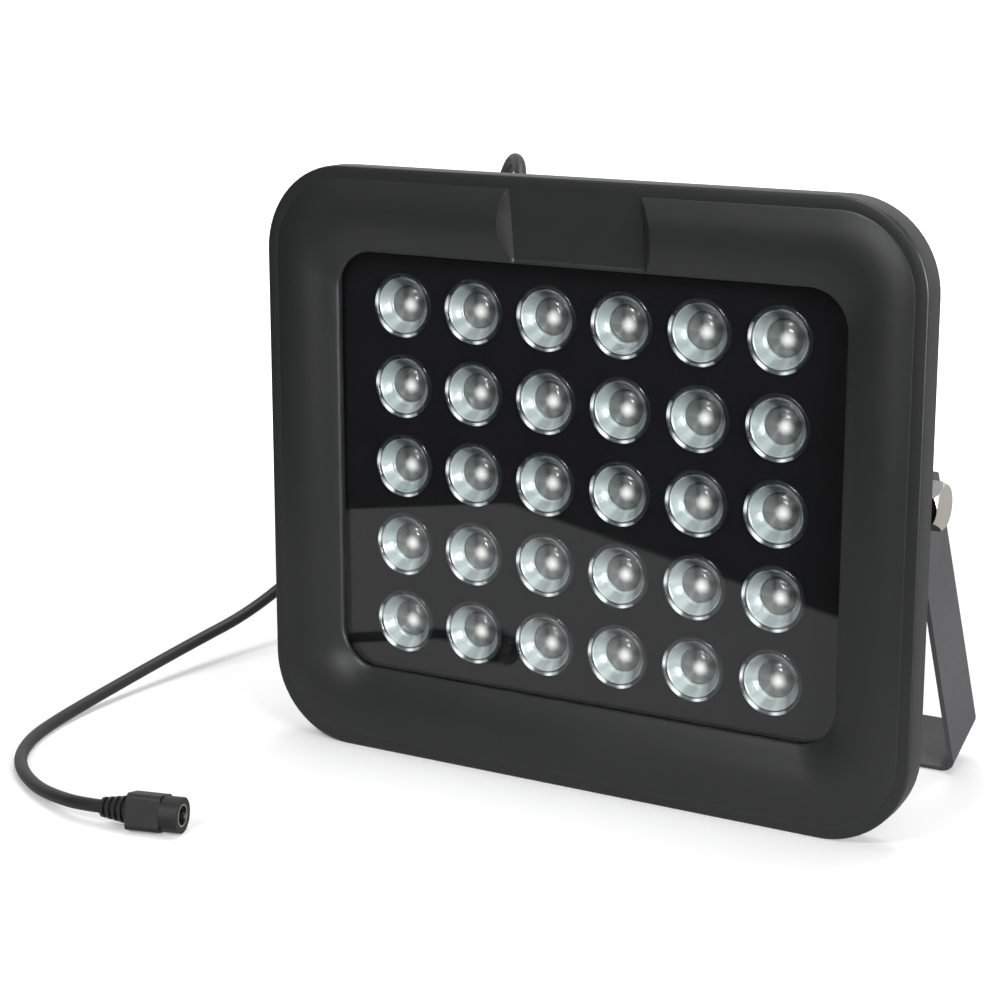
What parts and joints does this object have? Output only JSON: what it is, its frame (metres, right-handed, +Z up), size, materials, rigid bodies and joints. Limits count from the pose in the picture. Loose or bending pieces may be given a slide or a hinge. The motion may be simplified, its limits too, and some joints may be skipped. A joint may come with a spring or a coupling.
{
  "type": "infrared illuminator",
  "caption": "Infrared floodlight for a camera: black cast housing with a lens field behind a glass window, on a tilting U bracket, with a cord that ends in a DC jack.",
  "frame": {"origin": "middle of the footprint of the lamp and its bracket, without the cord, on the surface it stands on", "axes": "+X to the right seen from the front, along the pivot axis; +Y from the window backwards; +Z up"},
  "size_m": [0.2837, 0.2099, 0.1846],
  "materials": {
    "powder_coat": "matte black powder coat with a fine grain on die-cast aluminium",
    "bracket_coat": "matte black powder coat on bent steel strip",
    "window_glass": "clear toughened glass, polished",
    "clear_acrylic": "clear moulded acrylic",
    "black_plate": "matte black",
    "board_white": "white solder mask on a metal-core board",
    "board_green": "green solder mask",
    "emitter_package": "pale emitter package with a clear dome",
    "copper_winding": "lacquered copper winding",
    "capacitor_sleeve": "shrink sleeve",
    "seal_rubber": "soft matte rubber",
    "stainless_screw": "plain stainless steel",
    "zinc_plate": "zinc-plated steel",
    "bright_steel": "bright nickel-plated steel",
    "gland_nylon": "black nylon",
    "cord_jacket": "satin black flexible jacket",
    "jack_plastic": "black moulded plastic, satin",
    "nickel_contact": "nickel-plated contact"
  },
  "bodies": {
    "housing": {"front_frame": "powder_coat", "window_gasket": "seal_rubber", "window_glass": "window_glass", "lens_plate": "black_plate", "lens_row_1": "clear_acrylic", "lens_row_2": "clear_acrylic", "lens_row_3": "clear_acrylic", "lens_row_4": "clear_acrylic", "lens_row_5": "clear_acrylic", "led_board": "board_white", "emitters": "emitter_package", "driver_board": "board_green", "choke_coil": "copper_winding", "capacitor": "capacitor_sleeve", "driver_cover": "powder_coat", "cover_gasket": "seal_rubber", "seam_gasket": "seal_rubber", "rear_housing": "powder_coat", "frame_screws": "stainless_screw", "cover_screws": "stainless_screw", "board_screws": "stainless_screw", "flat_washer_left": "zinc_plate", "flat_washer_right": "zinc_plate", "spring_washer_left": "zinc_plate", "spring_washer_right": "zinc_plate", "pivot_bolt_left": "bright_steel", "pivot_bolt_right": "bright_steel", "cable_gland": "gland_nylon", "gland_seal": "seal_rubber", "gland_nut": "gland_nylon", "power_cord": "cord_jacket", "jack_boot": "cord_jacket", "jack_body": "jack_plastic", "jack_sleeve": "nickel_contact", "jack_pin": "nickel_contact"},
    "bracket": {"bracket": "bracket_coat"}
  },
  "joints": [
    {"name": "bracket_tilt", "type": "hinge", "parent": "housing", "child": "bracket", "pos_m": [0, -0.00647, 0.092], "axis": [1, 0, 0], "range_deg": [-30, 70]}
  ]
}
